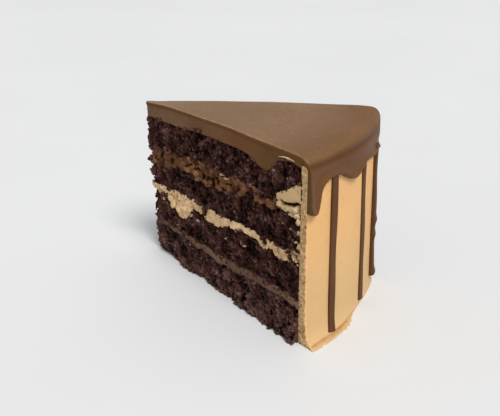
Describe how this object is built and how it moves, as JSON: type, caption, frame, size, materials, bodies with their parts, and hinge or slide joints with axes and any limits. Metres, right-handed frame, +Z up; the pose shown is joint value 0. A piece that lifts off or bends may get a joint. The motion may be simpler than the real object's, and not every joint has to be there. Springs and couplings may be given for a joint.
{
  "type": "chocolate layer cake slice",
  "caption": "Tall wedge of chocolate layer cake with ganache, crunchy and buttercream fillings, a poured glaze with drips and a buttercream coat with chocolate lines.",
  "frame": {"origin": "under the middle of the slice's box, on the surface it stands on", "axes": "+X from the tip to the rim along the slice's middle, +Z up, the more detailed cut faces -Y"},
  "size_m": [0.135, 0.0786, 0.0984],
  "materials": {
    "glaze": "milk chocolate glaze, smooth with a soft satin sheen",
    "ganache": "brown ganache as cut, smeared and nearly matte",
    "sponge": "nearly black, moist, open-crumbed chocolate sponge",
    "crunch": "caramel-brown ganache with crunchy bits",
    "buttercream": "pale coffee-coloured buttercream, torn by the knife",
    "coat": "smooth tan buttercream, matte with fine pits",
    "chocolate_line": "dark chocolate, satin"
  },
  "bodies": {
    "root": {"glaze": "glaze", "ganache_top": "ganache", "sponge_1": "sponge", "sponge_2": "sponge", "sponge_3": "sponge", "sponge_4": "sponge", "filling_crunch": "crunch", "buttercream_dam": "buttercream", "filling_buttercream": "buttercream", "filling_ganache": "ganache", "coat": "coat", "chocolate_line_1": "chocolate_line", "chocolate_line_2": "chocolate_line", "chocolate_line_3": "chocolate_line"}
  },
  "joints": []
}
